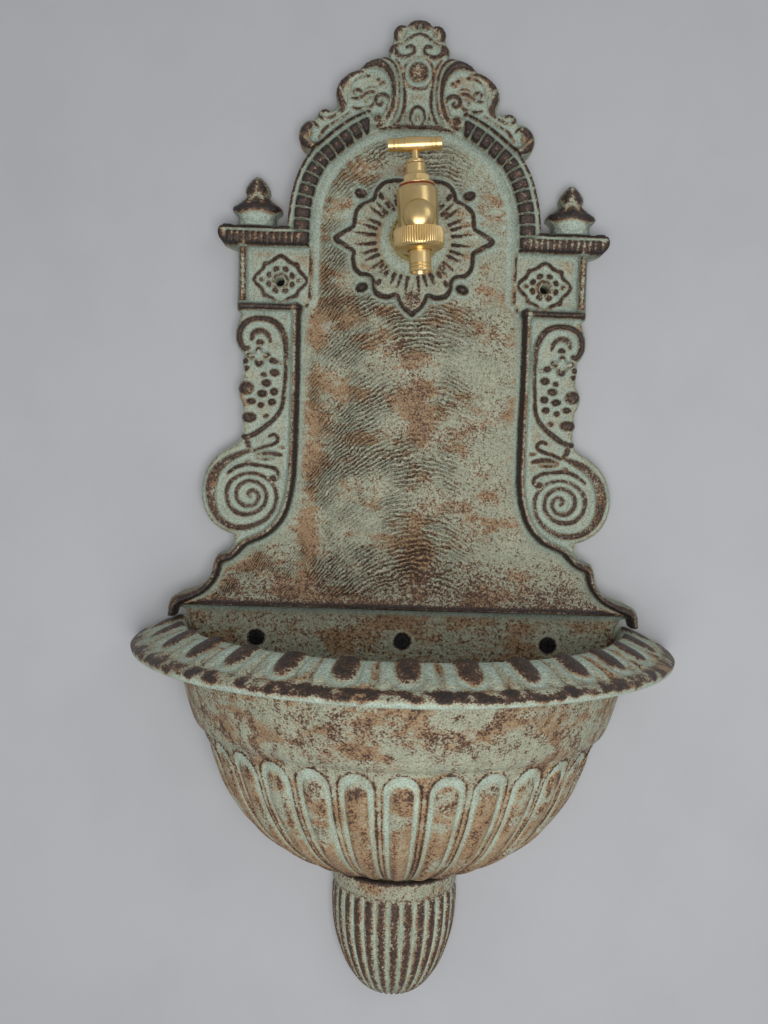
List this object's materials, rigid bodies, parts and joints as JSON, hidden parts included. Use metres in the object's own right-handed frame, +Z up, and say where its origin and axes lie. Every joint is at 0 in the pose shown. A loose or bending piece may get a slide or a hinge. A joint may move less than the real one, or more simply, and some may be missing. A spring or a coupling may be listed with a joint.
{
  "type": "wall-mounted drinking fountain",
  "caption": "Ornate cast wall fountain: arched back plate with scrolled pilasters, a lever-bar bib tap over a half-round fluted basin, and a hollow corbel that hides the waste.",
  "frame": {"origin": "on the wall plane, midway between the two wall-screw holes, on the back plate's rear cross-rib", "axes": "+X to the right of a person facing the fountain, +Y into the wall, +Z up"},
  "size_m": [0.42, 0.2099, 0.762],
  "materials": {
    "verdigris_paint": "pale verdigris paint rubbed through to rust brown and dark brown on the raised work",
    "polished_brass": "polished",
    "dull_brass": "dull, lightly tarnished",
    "black_steel": "black oxide, slightly glossy",
    "zinc_steel": "zinc plated",
    "black_rubber": "matt",
    "red_fibre": "pressed fibre",
    "white_packing": "fluoropolymer packing"
  },
  "bodies": {
    "fountain": {"back_plate": "verdigris_paint", "basin": "verdigris_paint", "corbel": "verdigris_paint", "apron_screw_left": "black_steel", "apron_screw_middle": "black_steel", "apron_screw_right": "black_steel", "apron_washer_left": "zinc_steel", "apron_washer_middle": "zinc_steel", "apron_washer_right": "zinc_steel", "apron_nut_left": "zinc_steel", "apron_nut_middle": "zinc_steel", "apron_nut_right": "zinc_steel", "tap_body": "polished_brass", "wall_flange": "polished_brass", "inlet_gasket": "black_rubber", "inlet_backnut": "polished_brass", "bonnet": "polished_brass", "bonnet_washer": "red_fibre", "gland_packing": "white_packing", "gland_nut": "polished_brass", "drain_body": "dull_brass", "drain_strainer": "dull_brass", "drain_bridge": "dull_brass", "strainer_screw": "dull_brass", "drain_gasket": "black_rubber", "drain_washer": "black_rubber", "drain_locknut": "dull_brass", "tail_nut": "dull_brass", "waste_elbow": "dull_brass"},
    "valve": {"jumper_valve": "polished_brass", "valve_washer": "black_rubber", "washer_nut": "polished_brass"},
    "handle": {"spindle": "polished_brass", "tee_bar": "polished_brass"},
    "outlet": {"hose_tail": "polished_brass", "union_washer": "black_rubber"},
    "union": {"union_nut": "polished_brass"}
  },
  "joints": [
    {"name": "valve_lift", "type": "slide", "parent": "fountain", "child": "valve", "axis": [-0.0767, 0, 0.9971], "range_m": [0, 0.005]},
    {"name": "handle_turn", "type": "hinge", "parent": "valve", "child": "handle", "pos_m": [0.0015, -0.065, 0.038], "axis": [-0.0767, 0, 0.9971], "range_deg": [0, 720]},
    {"name": "tail_drop", "type": "slide", "parent": "fountain", "child": "outlet", "axis": [0.0767, 0, -0.9971], "range_m": [0, 0.00907]},
    {"name": "union_turn", "type": "hinge", "parent": "outlet", "child": "union", "pos_m": [0.0015, -0.065, 0.038], "axis": [0.0767, 0, -0.9971], "range_deg": [0, 1800]}
  ],
  "couplings": [
    {"joint": "valve_lift", "follows": "handle_turn", "m_per_rad": 0.00039788},
    {"joint": "tail_drop", "follows": "union_turn", "m_per_rad": 0.0002887}
  ]
}
